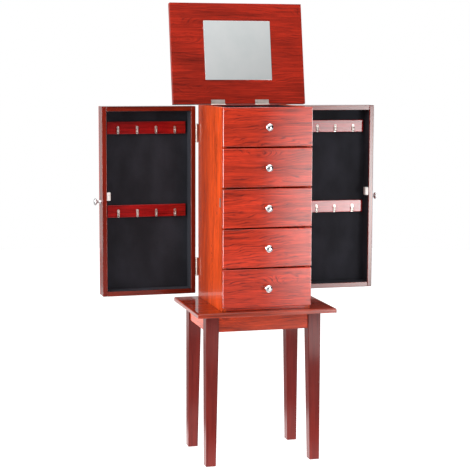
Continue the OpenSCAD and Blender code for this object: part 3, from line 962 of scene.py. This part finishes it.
def floor():
    """A pale floor. To the camera it glows evenly, and to other rays only near the armoire."""
    bm = bmesh.new()
    bmesh.ops.create_circle(bm, cap_ends=True, radius=FLOOR_RADIUS, segments=FLOOR_STEPS)
    mesh = bpy.data.meshes.new("floor")
    bm.to_mesh(mesh)
    bm.free()
    n = Net("pale_floor")
    cloud = n.noise(n.vector((1.5, 1.5, 1.5), 1), 2, 0.5)
    n.set(
        base_color=n.ramp(cloud, *zip((0.3, 0.7), FLOOR_GREYS)),
        roughness=0.85,
        specular_ior_level=0.1,
        emission_color=(1.0, 1.0, 1.0),
    )
    seen = n.add("LightPath").outputs["Is Camera Ray"]
    squares = (n.math("POWER", n.math("ABSOLUTE", n.xyz[k]), 2.0) for k in (0, 1))
    out = n.math("SQRT", n.math("ADD", *squares))
    near = n.fit(out, *NEAR_RADII, NEAR_GLOW, 0.0)
    to_camera = n.math("MULTIPLY", seen, FLOOR_GLOW)
    to_object = n.math("MULTIPLY", near, n.math("SUBTRACT", 1.0, seen))
    glow = n.math("MAXIMUM", to_camera, to_object)
    n.put(n.shader.inputs["Emission Strength"], glow)
    mesh.materials.append(n.material)
    plane = bpy.data.objects.new("floor", mesh)
    bpy.context.scene.collection.objects.link(plane)


def softbox(name, at, aim, size, radiance, gradient=None, drop=0.0):
    """A soft rectangular lamp that the camera doesn't see.

    gradient fades it from side to side, and drop towards its upper and lower ends.
    """
    data = bpy.data.lights.new(name, "AREA")
    data.shape = "RECTANGLE"
    data.size, data.size_y = size
    data.energy = radiance * math.pi * size[0] * size[1]
    lamp = bpy.data.objects.new(name, data)
    lamp.location = at
    way = Vector(aim) - Vector(at)
    lamp.rotation_mode = "QUATERNION"
    lamp.rotation_quaternion = way.to_track_quat("-Z", "Y")
    lamp.visible_camera = False
    bpy.context.scene.collection.objects.link(lamp)
    if gradient:
        data.use_nodes = True
        nodes, link = data.node_tree.nodes, data.node_tree.links.new
        split = nodes.new("ShaderNodeSeparateXYZ")
        link(nodes.new("ShaderNodeNewGeometry").outputs["Parametric"], split.inputs[0])
        fade = nodes.new("ShaderNodeMapRange")
        link(split.outputs[0], fade.inputs[0])
        for socket, value in zip(fade.inputs[1:5], gradient):
            socket.default_value = value
        value = split.outputs[1]
        steps = (("SUBTRACT", 0.5), ("POWER", 2.0), ("MULTIPLY", -4 * drop), ("ADD", 1.0))
        for operation, other in steps:
            step = nodes.new("ShaderNodeMath")
            step.operation = operation
            link(value, step.inputs[0])
            step.inputs[1].default_value = other
            value = step.outputs[0]
        both = nodes.new("ShaderNodeMath")
        both.operation = "MULTIPLY"
        link(fade.outputs[0], both.inputs[0])
        link(value, both.inputs[1])
        link(both.outputs[0], nodes["Emission"].inputs["Strength"])


WORLD_LOW, WORLD_HIGH, WORLD_BACK = 0.03, 1.3, 0.8
WORLD_SLANT = -0.35
WORLD_RISE, WORLD_TURN = (0.04, 0.4), (-0.1, 0.5)


def world():
    """A studio that is white to the camera.

    To other rays it is dark low down and bright overhead in front, and even behind.
    """
    sky = bpy.data.worlds.new("studio")
    sky.use_nodes = True
    bpy.context.scene.world = sky
    tree = sky.node_tree
    nodes, link = tree.nodes, tree.links.new
    nodes.clear()
    out = nodes.new("ShaderNodeOutputWorld")
    seen = nodes.new("ShaderNodeBackground")
    seen.inputs[0].default_value = (1, 1, 1, 1)
    seen.inputs[1].default_value = 1.0
    lit = nodes.new("ShaderNodeBackground")
    split = nodes.new("ShaderNodeSeparateXYZ")
    link(nodes.new("ShaderNodeTexCoord").outputs["Generated"], split.inputs[0])

    def fade(value, *limits):
        ramp = nodes.new("ShaderNodeMapRange")
        ramp.interpolation_type = "SMOOTHSTEP"
        for socket, v in zip(ramp.inputs, (value, *limits)):
            if isinstance(v, bpy.types.NodeSocket):
                link(v, socket)
            else:
                socket.default_value = v
        return ramp.outputs[0]

    slant = nodes.new("ShaderNodeMath")
    slant.operation = "MULTIPLY_ADD"
    link(split.outputs[0], slant.inputs[0])
    slant.inputs[1].default_value = WORLD_SLANT
    link(split.outputs[2], slant.inputs[2])
    ahead = fade(slant.outputs[0], *WORLD_RISE, WORLD_LOW, WORLD_HIGH)
    link(fade(split.outputs[1], *WORLD_TURN, ahead, WORLD_BACK), lit.inputs[1])
    which = nodes.new("ShaderNodeMixShader")
    link(nodes.new("ShaderNodeLightPath").outputs["Is Camera Ray"], which.inputs[0])
    link(lit.outputs[0], which.inputs[1])
    link(seen.outputs[0], which.inputs[2])
    link(which.outputs[0], out.inputs[0])


# Name, place, what it faces, size, radiance, and how it fades
LAMPS = (
    ("left_softbox", (-2.4, -0.7, 1.1), (0, -0.1, 0.62), (1.5, 1.9), 6.9),
    ("left_strip", (-2.3, -0.72, 0.5), (0, -0.15, 0.55), (0.26, 1.1), 19.0),
    (
        "right_softbox", (0.92, -2.0, 0.44), (0.3, 0, 0.53), (0.84, 0.9), 17.8,
        (0.05, 0.7, 0.0, 1.15), 0.7,
    ),
    ("right_strip", (2.3, 0.5, 0.7), (0, 0, 0.55), (0.4, 1.3), 12.0),
    (
        "leg_card", (0.2, -0.9, 0.145), (0.2, 0, 0.145), (0.56, 0.15), 5.4,
        (0.15, 0.9, 0.06, 1.5), 0.9,
    ),
    (
        "back_card", (-0.45, 0.9, 0.19), (-0.45, 0, 0.19), (0.7, 0.2), 0.75,
        (0.0, 1.0, 1.0, 1.0), 0.9,
    ),
    ("top_softbox", (0.0, -0.6, 2.8), (0, 0, 0.4), (2.2, 1.8), 1.8),
)  # fmt: skip

make_camera()
floor()
world()
for lamp in LAMPS:
    softbox(*lamp)
bpy.context.scene.view_settings.view_transform = "Standard"
